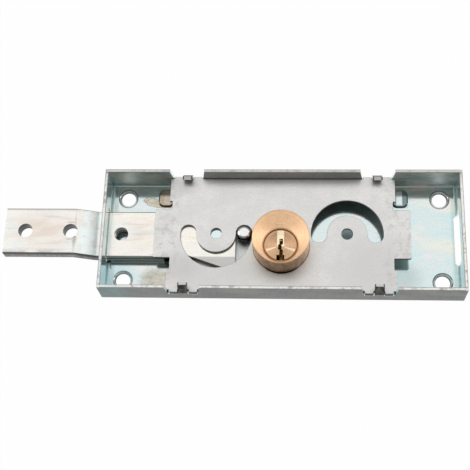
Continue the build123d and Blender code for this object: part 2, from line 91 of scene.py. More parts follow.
BAR_UNDERSIDE = millimetres(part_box("bolt_bar")[0])[2]
BAR_NORTH_SIDE, BAR_END_TOP = millimetres(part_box("bolt_bar")[1])[1:]
BAR_THICKNESS = 6.0
BAR_TOP = BAR_UNDERSIDE + BAR_THICKNESS
JOGGLE_RISE = BAR_END_TOP - BAR_TOP
JOGGLE_OUTER_BEND = (-98.0, -95.0)
JOGGLE_INNER_BEND = (-86.0, -83.0)
BAR_CREASE_X = -98.6
YOKE_START = (-47.0, -45.0)
TAPPED_X = millimetres(MOUNTS["bar_tapped_hole"]["pos_m"])[0]
THREAD_RADIUS = MOUNTS["bar_tapped_hole"]["dims"]["r_mm"] + 0.05
THREAD_INSET = 0.4

# The camera that took the picture, worked out from the lock's own corners: pixels, millimetres and degrees

IMAGE_SIZE = 470
FOCAL_PIXELS = 1039.10
CAMERA_PLACE = (12.502, -179.263, 468.054)
CAMERA_TURN = (21.3357, 3.6220, 1.7523)
SENSOR_WIDTH = 36.0
CAMERA_SEES = (10.0, 20000.0)

# Soft lamps: name, place, aim and size in metres, and brightness

LAMPS = (
    ("ceiling", (-0.05, 0.28, 0.75), (-0.03, 0.05, 0.0), (1.7, 0.5), 0.68),
    ("left_panel", (-0.78, 0.2, 0.55), (0.0, 0.0, 0.0), (0.5, 0.55), 1.8),
    ("right_panel", (0.78, 0.2, 0.55), (0.0, 0.0, 0.0), (0.5, 0.55), 1.8),
)

# Shader expressions


class Wire:
    """An output socket of a node, on which ordinary arithmetic can be written."""

    def __init__(self, nodes, socket):
        self.nodes = nodes
        self.socket = socket

    def _math(self, operation, *values):
        return self.nodes.node("ShaderNodeMath", {"operation": operation}, dict(enumerate(values)))

    def __add__(self, other):
        return self._math("ADD", self, other)

    def __radd__(self, other):
        return self._math("ADD", other, self)

    def __sub__(self, other):
        return self._math("SUBTRACT", self, other)

    def __rsub__(self, other):
        return self._math("SUBTRACT", other, self)

    def __mul__(self, other):
        return self._math("MULTIPLY", self, other)

    def __rmul__(self, other):
        return self._math("MULTIPLY", other, self)

    def __truediv__(self, other):
        return self._math("DIVIDE", self, other)

    def __rtruediv__(self, other):
        return self._math("DIVIDE", other, self)

    def absolute(self):
        return self._math("ABSOLUTE", self)

    def root(self):
        return self._math("SQRT", self)

    def at_most(self, other):
        return self._math("MINIMUM", self, other)

    def at_least(self, other):
        return self._math("MAXIMUM", self, other)

    def apart(self, other):
        """How far the value lies from another, to either side."""
        return (self - other).absolute()

    def ramp(self, low, high, out_low=0.0, out_high=1.0):
        """The value carried smoothly from one range to another and held at its ends."""
        settings = {"interpolation_type": "SMOOTHSTEP", "clamp": True}
        values = {"Value": self, "From Min": low, "From Max": high, "To Min": out_low, "To Max": out_high}
        return self.nodes.node("ShaderNodeMapRange", settings, values)

    def fade(self, low, high):
        """1 up to the first value, and smoothly down to 0 at the second."""
        return self.ramp(low, high, 1.0, 0.0)


class Nodes:
    """A tree of nodes, each made by one method."""

    def __init__(self, tree):
        self.tree = tree
        self.tree.nodes.clear()

    def link(self, socket, value):
        if isinstance(value, Wire):
            self.tree.links.new(value.socket, socket)
        else:
            socket.default_value = value

    def node(self, kind, settings=None, values=None, out=0):
        """A node of any kind: its settings first, then the values or links of its sockets."""
        made = self.tree.nodes.new(kind)
        for key, value in (settings or {}).items():
            setattr(made, key, value)
        for key, value in (values or {}).items():
            self.link(made.inputs[key], value)
        return None if out is None else Wire(self, made.outputs[out])

    def parts(self, vector):
        """The three numbers of a vector."""
        split = self.node("ShaderNodeSeparateXYZ", values={0: vector}).socket.node
        return [Wire(self, part) for part in split.outputs]

    def ray(self, kind):
        """1 for a ray of this kind, which is Camera, Glossy or Transmission."""
        return self.node("ShaderNodeLightPath", out=f"Is {kind} Ray")

    def shade_by(self, factor, first, second):
        """Two shaders mixed by a factor."""
        return self.node("ShaderNodeMixShader", values={0: factor, 1: first, 2: second})

    def end(self, kind, shader):
        """Ends the tree in its output node."""
        self.node(kind, values={"Surface": shader}, out=None)


class Finish(Nodes):
    """A material that is written as expressions on wires, with its places in millimetres."""

    def __init__(self, name):
        self.material = bpy.data.materials.new(name)
        self.material.use_nodes = True
        super().__init__(self.material.node_tree)
        self.place = self.node("ShaderNodeTexCoord", out="Object")
        self.x, self.y, self.z = [part * (1.0 / MM) for part in self.parts(self.place)]

    def vector(self, x, y, z):
        return self.node("ShaderNodeCombineXYZ", values={0: x, 1: y, 2: z})

    def facing(self):
        """Which way a face looks: its shares of east, north and up."""
        return self.parts(self.node("ShaderNodeAttribute", {"attribute_name": "facing"}, out="Vector"))

    def noise(self, size, detail=2.0, roughness=0.5, stretch=(1.0, 1.0, 1.0), shift=0.0):
        """Soft noise whose blotches are about size millimetres across, drawn out by stretch."""
        scale = [1.0 / (MM * size * s) for s in stretch]
        values = {"Vector": self.place, "Location": (shift, shift, shift), "Scale": scale}
        placed = self.node("ShaderNodeMapping", {"vector_type": "POINT"}, values)
        values = {"Vector": placed, "Scale": 1.0, "Detail": detail, "Roughness": roughness}
        return self.node("ShaderNodeTexNoise", {"noise_dimensions": "3D"}, values)

    def mix(self, factor, first, second):
        """Two colours mixed by a factor. The node has its colours at 6 and 7 and their mix at 2."""
        first, second = [c if isinstance(c, Wire) else rgb(c) for c in (first, second)]
        settings = {"data_type": "RGBA", "blend_type": "MIX", "clamp_factor": True}
        return self.node("ShaderNodeMix", settings, {0: factor, 6: first, 7: second}, out=2)

    def oval(self, x, y, reach_x, reach_y, lean=0.0):
        """0 in the middle of an ellipse on the lock's plan and 1 on its outline."""
        across = self.x - x
        along = self.y - y
        if lean:
            along = along + across * lean
        return distance(across * (1.0 / reach_x), along * (1.0 / reach_y))

    def spot(self, x, y, reach_x, reach_y, soft):
        """1 inside a blurred ellipse on the lock's plan and 0 outside it."""
        return self.oval(x, y, reach_x, reach_y).fade(1.0 - soft, 1.0 + soft)

    def bump(self, height, depth, over=None):
        """A normal bent by a height between 0 and 1 that stands for depth millimetres."""
        values = {"Strength": 1.0, "Distance": depth * MM, "Height": height}
        if over is not None:
            values["Normal"] = over
        return self.node("ShaderNodeBump", values=values)

    def metal(self, colour, roughness, normal, metallic=1.0, grooved=0.0):
        """Ends the material in a metal surface, grooved in rings round its middle where it says so."""
        values = {
            "Base Color": colour,
            "Roughness": roughness,
            "Metallic": metallic,
            "Normal": normal,
            "Anisotropic": grooved,
            "Anisotropic Rotation": QUARTER_TURN,
        }
        self.end("ShaderNodeOutputMaterial", self.node("ShaderNodeBsdfPrincipled", values=values))
        return self.material


def rgb(colour):
    """A colour with the alpha that a node's socket asks for."""
    return (colour[0], colour[1], colour[2], 1.0)


def shade(colour, factor):
    """A colour made darker or lighter, up to white."""
    return [min(1.0, c * factor) for c in colour]


def distance(across, along):
    return (across * across + along * along).root()


# Finishes: a pair of colours is the two ends of a mix, and a spot is its x, y, two reaches and softness

WHITE = (1.0, 1.0, 1.0)
QUARTER_TURN = 0.25
RING_GLOSS = 0.9
SMOOTHEST = 0.08
SMOOTHEST_SMALL = 0.05


def plated(f, colour, casts, roughness, drawn_out, depth):
    """Bright zinc plate: faint casts of colour in broad clouds, rolling lines and fine specks."""
    warm, cool, rose = casts
    clouds = f.noise(15.0, detail=3.0, roughness=0.6, shift=1.3)
    long_clouds = f.noise(13.0, shift=7.1, stretch=(2.2, 1.0, 1.0))
    small_clouds = f.noise(7.0, shift=3.7, stretch=(1.6, 1.0, 1.0))
    specks = f.noise(0.9, detail=4.0, roughness=0.7, shift=2.2)
    rolled = f.noise(0.35, stretch=(drawn_out, 1.0, 1.0))
    streaks = f.noise(1.1, stretch=(drawn_out, 1.0, 1.0), shift=9.0)
    tint = f.mix(clouds.ramp(0.42, 0.68), colour, cool)
    tint = f.mix(long_clouds.ramp(0.48, 0.68) * 0.65, tint, warm)
    tint = f.mix(small_clouds.ramp(0.54, 0.72) * 0.7, tint, rose)
    tint = f.mix(specks.ramp(0.36, 0.72) * 0.25, tint, shade(colour, 0.75))
    tint = f.mix(streaks.ramp(0.52, 0.75) * 0.16, tint, shade(colour, 0.65))
    rough = roughness + (specks - 0.5) * 0.16 + (clouds - 0.5) * 0.1
    return tint, rough, f.bump(rolled * 0.6 + specks * 0.4, depth)


CASE_CASTS = (0.86, 0.82, 0.70), (0.60, 0.78, 0.79), (0.84, 0.77, 0.78)
# Painted shade: the long walls are darker grey on their outer faces and behind the cover
OUTER_WALL_SHADE = (0.30, 0.315, 0.31), (0.40, 0.395, 0.38)
OUTER_WALL_WEST = (0.27, 0.42, 0.42)
WALL_BEHIND_COVER_SHADE = (0.36, 0.36, 0.335), (0.45, 0.435, 0.41)
BAY_WALL = (0.55, 0.76, 0.73), (1.0, 1.0, 0.96)
BAY_WALL_WARM = (1.0, 0.93, 0.78)
OUTER_END = (0.42, 0.45, 0.45), (0.50, 0.52, 0.50)
INNER_END = (0.36, 0.68, 0.70), (0.76, 0.88, 0.87)
END_BEND = (0.50, 0.72, 0.72)
BAYS_BEGIN = (45.0, 49.0)
END_BEND_BEGINS = (80.5, 81.0)
TABS_BEGIN = (24.0, 24.5)
TORN_TOP = (0.90, 0.89, 0.85), (0.50, 0.48, 0.46)
# Painted shade on the cut tops of the north wall and along the edges of every cut top
TORN_TOP_NORTH_SHADE = (0.45, 0.45, 0.43)
TOP_EDGE_SHADE = (0.24, 0.24, 0.23)
# Painted shade on the leaning tabs and on the edges of their tips, and a painted highlight on the tips
TAB_SHADE = (0.045, 0.05, 0.045), (0.16, 0.16, 0.15)
TAB_TIP_EDGE_SHADE = (0.24, 0.23, 0.22)
TAB_TIP_HIGHLIGHT = (0.95, 0.94, 0.91)
COUNTERSINK = (0.84, 0.88, 0.88)
# Painted shade on the rims and lips of the fixing holes
HOLE_RIM_SHADE = (0.07, 0.08, 0.08)
# Painted shade on the flanks of the pressed bosses
BOSS_FLANK_SHADE = (0.10, 0.14, 0.15)


def inner_face(place, outer_face):
    """1 on the inner face of a wall of the case and 0 on its outer face."""
    return place.absolute().fade(outer_face - SHEET - 0.2, outer_face - SHEET + 0.4)


def long_walls(f, drawn):
    """Grey with painted shade outside and behind the cover, and blue in the bays."""
    smeared = f.noise(5.0, detail=3.0, roughness=0.6, stretch=(1.6, 1.0, 0.8), shift=8.8)
    outer = f.mix(drawn.ramp(0.35, 0.65), *OUTER_WALL_SHADE)
    outer = f.mix(f.x.ramp(-84.0, -62.0, 0.55, 0.0), outer, OUTER_WALL_WEST)
    behind = f.mix(drawn.ramp(0.35, 0.65), *WALL_BEHIND_COVER_SHADE)
    bay = f.mix(smeared.ramp(0.38, 0.62), *BAY_WALL)
    bay = f.mix(drawn.ramp(0.5, 0.7) * 0.6, bay, BAY_WALL_WARM)
    inner = f.mix(f.x.absolute().ramp(*BAYS_BEGIN), behind, bay)
    return f.mix(inner_face(f.y, CASE_SIDE), outer, inner)


def end_walls(f, drawn):
    outer = f.mix(drawn.ramp(0.35, 0.65), *OUTER_END)
    inner = f.mix(drawn.ramp(0.35, 0.65), *INNER_END)
    return f.mix(inner_face(f.x, CASE_END), outer, inner)


def case_walls(f, tint, rough, dies):
    """The walls, with painted shade outside and behind the cover, the bends below the end walls, and where a wall
    is dull because it looks outwards.
    """
    east, north, up = f.facing()
    drawn = f.noise(8.0, stretch=(3.0, 1.0, 1.0), shift=2.8)
    sideways = north.absolute().ramp(0.5, 0.95)
    endways = east.absolute().ramp(0.5, 0.95)
    dull = (1.0 - inner_face(f.y, CASE_SIDE)) * sideways + (1.0 - inner_face(f.x, CASE_END)) * endways
    # painted shade on the long walls outside and behind the cover, through long_walls
    tint = f.mix(sideways * dies.ramp(0.3, 0.7, 0.85, 0.97), tint, long_walls(f, drawn))
    tint = f.mix(east.absolute().ramp(0.7, 0.97) * dies.ramp(0.3, 0.7, 0.7, 0.9), tint, end_walls(f, drawn))
    bend = east.absolute().ramp(0.06, 0.3) * up.ramp(0.06, 0.3) * f.x.absolute().ramp(*END_BEND_BEGINS)
    tint = f.mix(bend * 0.6, tint, END_BEND)
    return tint, rough + sideways * 0.36 + bend * 0.4 + dull * 0.1, dull


def cut_tops(f, tint, rough):
    """The cut tops of the walls: bright along the middle, with painted shade to the north and along their edges.
    """
    top = f.z.ramp(CASE_TOP - 0.35, CASE_TOP - 0.1)
    torn = f.noise(1.4, detail=4.0, roughness=0.75, shift=5.5, stretch=(2.5, 2.5, 1.0))
    off_middle = f.y.absolute().apart(CASE_SIDE - SHEET / 2)
    off_middle = off_middle.at_most(f.x.absolute().apart(CASE_END - SHEET / 2))
    bright = f.mix(torn.ramp(0.46, 0.66), *TORN_TOP)
    bright = f.mix(f.y.ramp(20.0, 29.0) * 0.55, bright, TORN_TOP_NORTH_SHADE)
    cut = f.mix(off_middle.fade(0.36, 0.72), TOP_EDGE_SHADE, bright)
    return f.mix(top, tint, cut), rough + top * 0.25


def leaning_tabs(f, tint, dies):
    """The tabs: painted shade over them, and a painted highlight on their sheared tips between edges of painted
    shade.
    """
    _, _, up = f.facing()
    off_middle = f.x.absolute().apart(TAB_X)
    tab = off_middle.fade(TAB_WIDTH / 2 + 0.3, TAB_WIDTH / 2 + 0.5)
    tab = tab * f.z.ramp(COVER_TOP - 0.8, COVER_TOP + 0.2) * f.y.absolute().ramp(*TABS_BEGIN)
    tint = f.mix(tab, tint, f.mix(dies.ramp(0.4, 0.62), *TAB_SHADE))
    tip = tab * up.ramp(0.72, 0.8)
    tint = f.mix(tip, tint, TAB_TIP_EDGE_SHADE)
    tip = tip * off_middle.fade(TAB_WIDTH / 2 - 0.7, TAB_WIDTH / 2 - 0.3)
    return f.mix(tip, tint, TAB_TIP_HIGHLIGHT), tip


def countersunk_holes(f, tint):
    """The fixing holes: a bright cone between a rim and a lip darkened with painted shade."""
    away = distance(f.x.absolute() - FIXING_HOLE_X, f.y.absolute() - FIXING_HOLE_Y)
    cone = away.ramp(HOLE_LIP_RADIUS + 0.05, HOLE_LIP_RADIUS + 0.25)
    cone = cone * away.fade(COUNTERSINK_RADIUS - 0.35, COUNTERSINK_RADIUS - 0.15)
    rim = away.apart(COUNTERSINK_RADIUS).fade(0.08, 0.34)
    lip = away.apart(HOLE_LIP_RADIUS).fade(0.05, 0.32)
    tint = f.mix(cone * 0.8, tint, COUNTERSINK)
    return f.mix((rim * 0.8).at_least(lip * 0.75), tint, HOLE_RIM_SHADE), cone


def pressed_bosses(f, tint):
    """The bosses pressed up from the back: painted shade on the flanks round each crown, standing in for wider
    slopes.
    """
    crown_x = f.x.absolute().apart(BOSS_X - 0.3) * (1.0 / 1.35)
    crown_y = f.y.apart(BOSS_Y) * (1.0 / 3.5)
    outline = f.x.absolute().apart(BOSS_X).at_least((f.y.apart(BOSS_Y) - 0.8).at_least(0.0))
    flank = crown_x.at_least(crown_y).ramp(0.85, 1.25) * outline.fade(3.7, 4.05)
    return f.mix(flank * f.z.ramp(SHEET - 0.05, SHEET + 0.1) * 0.82, tint, BOSS_FLANK_SHADE)


NORTH_STAIN = (0.74, 0.67, 0.54), (0.50, 0.40, 0.28)
NORTH_STAIN_DRIED = (0.34, 0.30, 0.24)
NORTH_STAIN_EDGE = (0.20, 0.18, 0.16)
SOUTH_STAIN = (0.53, 0.48, 0.39), (0.36, 0.32, 0.26)
SOUTH_STAIN_LINES = (0.26, 0.22, 0.17)
NORTH_STAIN_OVAL = (-61.0, 18.9, 8.0, 2.381)
NORTH_STAIN_LEAN = 0.22
BOSS_STAIN_OVAL = (-57.0, BOSS_Y, 3.333, 4.545)
SOUTH_STAIN_OVAL = (-59.0, -20.6, 8.333, 5.882)
# Painted shade on the back: a patch in the south-west corner, a shadow in the east bay, and a shadow under the
# east pivot hole
BACK_CORNER_SHADE = (0.44, 0.62, 0.66)
BACK_CORNER_SHADE_SPOT = (-78.0, -21.0, 7.0, 9.0, 0.7)
EAST_BAY_SHADOW = (0.34, 0.44, 0.45)
EAST_BAY_SHADOW_SPOT = (57.0, -19.0, 8.0, 7.0, 0.6)
PIVOT_HOLE_SHADOW = (0.25, 0.28, 0.30)
PIVOT_HOLE_SHADOW_SPOT = (-PIVOT_X, 0.0, 4.0, 4.0, 0.4)


def water_stains(f, tint):
    """Brown stains left by water beside the bar, the north one edged darker and run up on its boss, and a patch of
    painted shade in the back's south-west corner.
    """
    swirl = f.noise(3.2, detail=4.0, roughness=0.65, shift=4.1, stretch=(2.0, 1.0, 1.0)) - 0.5
    dried = f.noise(1.8, detail=4.0, roughness=0.7, shift=6.6, stretch=(2.4, 1.0, 1.0))
    floor = f.z.ramp(SHEET - 0.3, SHEET - 0.1)
    wet = f.oval(*NORTH_STAIN_OVAL, NORTH_STAIN_LEAN).at_most(f.oval(*BOSS_STAIN_OVAL)) + swirl
    brown = f.mix(f.x.ramp(-69.0, -58.0), *NORTH_STAIN)
    brown = f.mix(dried.ramp(0.4, 0.64) * 0.7, brown, NORTH_STAIN_DRIED)
    tint = f.mix(wet.fade(0.75, 1.15) * floor * 0.85, tint, brown)
    tint = f.mix(wet.apart(0.92).fade(0.0, 0.07) * floor * 0.75, tint, NORTH_STAIN_EDGE)
    damp = (f.oval(*SOUTH_STAIN_OVAL) + swirl * 0.7).fade(0.55, 1.3) * floor
    tint = f.mix(damp * 0.8, tint, f.mix(dried.ramp(0.45, 0.7), *SOUTH_STAIN))
    tint = f.mix(swirl.absolute().fade(0.0, 0.018) * damp * 0.6, tint, SOUTH_STAIN_LINES)
    # painted shade: a darker patch in the south-west corner of the back
    return f.mix(f.spot(*BACK_CORNER_SHADE_SPOT) * floor * 0.5, tint, BACK_CORNER_SHADE)


def case_finish(look):
    """Blue zinc plate on the folded tray, duller on its walls and darkened there with painted shade, torn bright
    along their cut tops, with patches of painted shade and shadow on its back.
    """
    f = Finish("blue_zinc_tray")
    dies = f.noise(1.6, detail=3.0, roughness=0.6, stretch=(1.0, 1.0, 5.0), shift=6.0)
    tint, rough, normal = plated(f, look.zinc, CASE_CASTS, 0.13, 6.0, 0.002)
    tint, rough, dull = case_walls(f, tint, rough, dies)
    tint, rough = cut_tops(f, tint, rough)
    tint, tip = leaning_tabs(f, tint, dies)
    tint, cone = countersunk_holes(f, tint)
    tint = water_stains(f, pressed_bosses(f, tint))
    # painted shadow in the east bay below the cover's tongue, and painted shadow on the back under the east pivot
    # hole
    tint = f.mix(f.spot(*EAST_BAY_SHADOW_SPOT) * 0.5, tint, EAST_BAY_SHADOW)
    tint = f.mix(f.spot(*PIVOT_HOLE_SHADOW_SPOT) * 0.6, tint, PIVOT_HOLE_SHADOW)
    soft = (dull * 0.75).at_least(cone * 0.6).at_least(tip * 0.7)
    return f.metal(tint, rough.at_least(SMOOTHEST), normal, 1.0 - soft)


BAR_CASTS = (0.94, 0.89, 0.77), (0.80, 0.86, 0.84), (0.90, 0.79, 0.76)
HANDLED = (0.76, 0.67, 0.60)
HANDLED_END_SPOT = (-114.0, 0.5, 15.0, 8.0, 0.6)
HANDLED_BAY_SPOT = (-66.0, 1.0, 6.0, 8.0, 0.8)
ROLLED_OFF = (0.50, 0.47, 0.45)
# Painted highlight: a cool patch on the yoke at the pivot
YOKE_PIVOT_HIGHLIGHT = (0.66, 0.80, 0.84)
YOKE_PIVOT_HIGHLIGHT_SPOT = (PIVOT_X, 0.0, 5.0, 5.0, 0.3)
JOGGLE_TOP = (0.90, 1.0, 1.0)
BAR_MARKS = (0.52, 0.48, 0.46)
# Painted shade on the bar's sides and hole walls, and painted light on its sides inside the case
BAR_SIDE_TORN_AND_SHADE = (0.13, 0.13, 0.135), (0.25, 0.25, 0.25)
BAR_SIDE_UPPER_SHADE = (0.035, 0.028, 0.026)
BAR_SIDE_INSIDE_PAINTED_LIGHT = (0.05, 0.06, 0.06), (0.52, 0.55, 0.52)
BAR_HOLE_WALL_SHADE = (0.05, 0.05, 0.05)
# Painted shade along the bar's north rim
BAR_NORTH_RIM_SHADE = (0.30, 0.30, 0.30)
BAR_NORTH_RIM_INSIDE_SHADE = (0.06, 0.08, 0.08)
# Painted shade in the creases
CREASE_SHADE = (0.26, 0.24, 0.23)
# Painted shade on the yoke's step and south of it
YOKE_SOUTH_SHADE = (0.42, 0.42, 0.41)
YOKE_LINE_SHADE = (0.22, 0.22, 0.22)
SHEAR_LINE_Z = 5.2
BAR_END_BEGINS = (-99.0, -96.0)
DENT_X = -100.4
DENT_Y = 4.3


def bar_faces(f, tint):
    """The bar's flat faces: warm where it was handled, pale on the joggle, with long marks, and a cool painted
    highlight on the yoke at the pivot.
    """
    handled = f.noise(4.5, detail=3.0, shift=5.1, stretch=(2.6, 1.0, 1.0))
    marks = f.noise(2.6, detail=3.0, roughness=0.6, stretch=(7.0, 1.0, 1.0), shift=3.3)
    joggle = f.x.ramp(*JOGGLE_OUTER_BEND) * f.x.fade(*JOGGLE_INNER_BEND)
    middle = f.spot(*HANDLED_END_SPOT).at_least(f.spot(*HANDLED_BAY_SPOT) * 0.6)
    rolled_off = f.y.fade(-10.9, -8.2) * f.x.fade(*BAR_END_BEGINS)
    tint = f.mix(middle * handled.ramp(0.34, 0.62, 0.35, 1.0), tint, HANDLED)
    tint = f.mix(rolled_off * handled.ramp(0.36, 0.6) * 0.75, tint, ROLLED_OFF)
    # painted highlight: a cool patch on the yoke where it shows through the cover's pivot hole
    tint = f.mix(f.spot(*YOKE_PIVOT_HIGHLIGHT_SPOT) * 0.8, tint, YOKE_PIVOT_HIGHLIGHT)
    tint = f.mix(joggle * f.noise(6.0, shift=1.0).ramp(0.35, 0.6) * 0.75, tint, JOGGLE_TOP)
    return f.mix(marks.ramp(0.54, 0.7) * 0.3, tint, BAR_MARKS), joggle


def bar_sides(f, sheltered, in_hole):
    """The bar's sheared sides: torn, with painted shade that is darkest along the top, painted light split by a
    dark line where the case shelters them, and painted shade on the hole's walls.
    """
    torn = f.noise(1.2, detail=3.0, roughness=0.65, stretch=(1.0, 1.0, 2.0), shift=6.0)
    top = BAR_TOP + f.x.ramp(-99.5, -88.0, JOGGLE_RISE, 0.0)
    # painted shade over the torn sides, darkest along the top, painted light inside the case, and painted shade on
    # the hole's walls
    side = f.mix(torn.ramp(0.35, 0.65), *BAR_SIDE_TORN_AND_SHADE)
    side = f.mix((top - f.z).fade(1.7, 2.7) * 0.9, side, BAR_SIDE_UPPER_SHADE)
    side = f.mix(sheltered, side, f.mix(f.z.apart(SHEAR_LINE_Z).ramp(0.2, 0.9), *BAR_SIDE_INSIDE_PAINTED_LIGHT))
    return f.mix(in_hole * 0.8, side, BAR_HOLE_WALL_SHADE)


def joggle_creases(f, tint):
    """Creases beside the inner hole, where the joggle begins: wide at the hole, thin further out, with painted
    shade in them and in a dent.
    """
    south = f.y.ramp(-11.0, -3.4, 0.25, 1.0) * f.y.fade(-3.2, -2.6)
    north = f.y.ramp(3.4, 9.5, 0.5, 0.2) * f.y.ramp(2.6, 3.2)
    reach = south.at_least(north)
    crease = (f.x.apart(BAR_CREASE_X) / (reach * 1.5 + 0.2)).fade(0.0, 1.0) * reach
    dent = f.y.absolute().apart(DENT_Y).fade(0.0, 0.8) * f.x.apart(DENT_X).fade(1.2, 2.8)
    dent = dent * f.z.ramp(9.0, 11.0)
    # painted shade in the creases and in the dent
    return f.mix(crease.at_least(dent * 0.6) * 0.65, tint, CREASE_SHADE), crease


def yoke_step(f, tint, up):
    """A step on the yoke in line with the bar's south side, drawn as a line of painted shade, with painted shade
    south of it.
    """
    off_line = f.y + BAR_NORTH_SIDE
    yoke = f.x.ramp(*YOKE_START)
    # painted shade south of the step and along it
    tint = f.mix((off_line + 0.3).fade(-0.3, 0.3) * yoke * 0.8, tint, YOKE_SOUTH_SHADE)
    line = off_line.absolute().fade(0.05, 0.4) * yoke
    return f.mix(line * up.ramp(0.9, 0.98) * 0.6, tint, YOKE_LINE_SHADE)


def bar_finish(look):
    """Blue zinc plate on the bar, with dull sheared sides in painted shade and painted light, and creases where
    the joggle was pressed, darkened with painted shade.
    """
    f = Finish("blue_zinc_bar")
    _, _, up = f.facing()
    edge = up.absolute().fade(0.55, 0.96)
    sheltered = f.x.ramp(*JOGGLE_INNER_BEND)
    in_hole = f.y.absolute().fade(4.0, 5.0) * f.x.fade(-92.0, -88.0)
    tint, rough, normal = plated(f, look.bar, BAR_CASTS, 0.2, 9.0, 0.004)
    tint, joggle = bar_faces(f, tint)
    tint = f.mix(edge, tint, bar_sides(f, sheltered, in_hole))
    # painted shade along the north rim of the bar's end, and along its north side inside the case
    tint = f.mix(f.y.ramp(10.2, 11.0) * f.x.fade(*BAR_END_BEGINS) * 0.6, tint, BAR_NORTH_RIM_SHADE)
    tint = f.mix(f.y.ramp(10.9, 11.2) * sheltered * 0.85, tint, BAR_NORTH_RIM_INSIDE_SHADE)
    tint, crease = joggle_creases(f, tint)
    tint = yoke_step(f, tint, up)
    rough = (rough + joggle * 0.15 + edge * 0.15).at_least(SMOOTHEST)
    soft = edge * sheltered * (1.0 - in_hole)
    return f.metal(tint, rough, f.bump(1.0 - crease, 0.1, normal), 1.0 - soft * 0.5)


# Painted shade on the cover's cut edges, which are also bare steel, and in patches to the west and east
COVER_CUT_SHADE = (0.13, 0.14, 0.14)
COVER_WEST_SHADE_SPOT = (-33.0, -18.0, 22.0, 11.0, 0.6)
COVER_EAST_SHADE_SPOT = (44.0, -16.0, 16.0, 14.0, 0.6)
COVER_CORNER_SPOTS = (-50.0, 24.0, 7.0, 4.0, 0.6), (-49.0, -17.0, 9.0, 6.0, 0.7)
COVER_ENDS = (40.0, 56.0)


def cover_finish(look):
    """Matt galvanised sheet: an even fine grain, faint clouds, grey smudges towards its ends, patches of painted
    shade to the west and east, and painted shade on its cut edges.
    """
    f = Finish("matt_zinc_cover")
    _, _, up = f.facing()
    clouds = f.noise(11.0, detail=3.0, roughness=0.62, shift=4.4)
    grain = f.noise(0.8, detail=4.0, roughness=0.75)
    rolled = f.noise(0.5, stretch=(14.0, 1.0, 1.0), shift=8.0)
    smudge = f.noise(3.5, detail=4.0, roughness=0.7, shift=1.9).ramp(0.46, 0.7)
    north_corner, south_corner = [f.spot(*corner) for corner in COVER_CORNER_SPOTS]
    tint = f.mix(clouds.ramp(0.35, 0.68), shade(look.cover, 0.94), shade(look.cover, 1.05))
    tint = f.mix(grain.ramp(0.4, 0.68) * 0.55, tint, shade(look.cover, 0.8))
    tint = f.mix(rolled.ramp(0.55, 0.75) * 0.25, tint, shade(look.cover, 1.08))
    # painted shade: darker patches on the west and east of the cover
    tint = f.mix(f.spot(*COVER_WEST_SHADE_SPOT) * 0.55, tint, shade(look.cover, 0.8))
    tint = f.mix(f.spot(*COVER_EAST_SHADE_SPOT) * 0.7, tint, shade(look.cover, 0.82))
    tint = f.mix(smudge * f.x.absolute().ramp(*COVER_ENDS) * 0.6, tint, shade(look.cover, 0.6))
    tint = f.mix(north_corner.at_least(south_corner) * 0.4, tint, shade(look.cover, 0.66))
    # cut edges: bare steel, darkened further with painted shade
    tint = f.mix(up.absolute().fade(0.25, 0.9) * 0.85, tint, COVER_CUT_SHADE)
    rough = 0.42 + (grain - 0.5) * 0.25 + (clouds - 0.5) * 0.08
    return f.metal(tint, rough, f.bump(grain * 0.7 + rolled * 0.3, 0.008), metallic=0.85)


RING_PITCH = 0.14
RING_GROOVE = 0.06
PLUG_SEAM = (0.42, 0.18, 0.07)
# Painted shade and painted highlights on the plug's dish, a painted highlight in its key guide, and painted shade
# in its keyway's mouth
DISH_SHADE = (0.42, 0.25, 0.14)
DISH_ARM_HIGHLIGHT = (1.0, 0.80, 0.56)
KEY_GUIDE_HIGHLIGHT = (1.0, 0.84, 0.58)
KEYWAY_WALL = (1.0, 0.74, 0.34)
KEYWAY_MOUTH_SHADE = (0.03, 0.03, 0.035)
BARREL_WALL = (0.34, 0.25, 0.18)
# Painted shade at the barrel's foot
BARREL_FOOT_SHADE = (0.06, 0.03, 0.02)


def turned(f, colour, centre_y, roughness):
    """Brass turned on a lathe: fine rings about its axis, and a dark line where plug and barrel meet."""
    radius = distance(f.x, f.y - centre_y)
    along = f.z * 0.9
    place = f.vector(radius * (1.0 / RING_PITCH), along * (1.0 / RING_PITCH), 0.0)
    values = {"Vector": place, "Scale": 1.0, "Detail": 2.0}
    rings = f.node("ShaderNodeTexNoise", {"noise_dimensions": "2D"}, values)
    values = {"W": radius * 1.3 + along, "Scale": 1.0, "Detail": 2.0}
    wide = f.node("ShaderNodeTexNoise", {"noise_dimensions": "1D"}, values)
    marks = f.noise(2.4, detail=3.0, shift=2.0)
    tint = f.mix(wide.ramp(0.38, 0.66) * 0.35, colour, shade(colour, 0.84))
    tint = f.mix(marks.ramp(0.52, 0.74) * 0.35, tint, shade(colour, 0.8))
    seam = distance(f.x, f.y - PLUG_Y).apart(PLUG_SEAM_RADIUS).fade(0.25, 0.95)
    face = (BARREL_FACE - f.z).fade(0.5, 0.8)
    tint = f.mix(seam * face * 0.8, tint, PLUG_SEAM)
    rough = roughness + (rings - 0.5) * 0.12 + (marks - 0.5) * 0.08
    return tint, rough, f.bump(rings, RING_GROOVE)


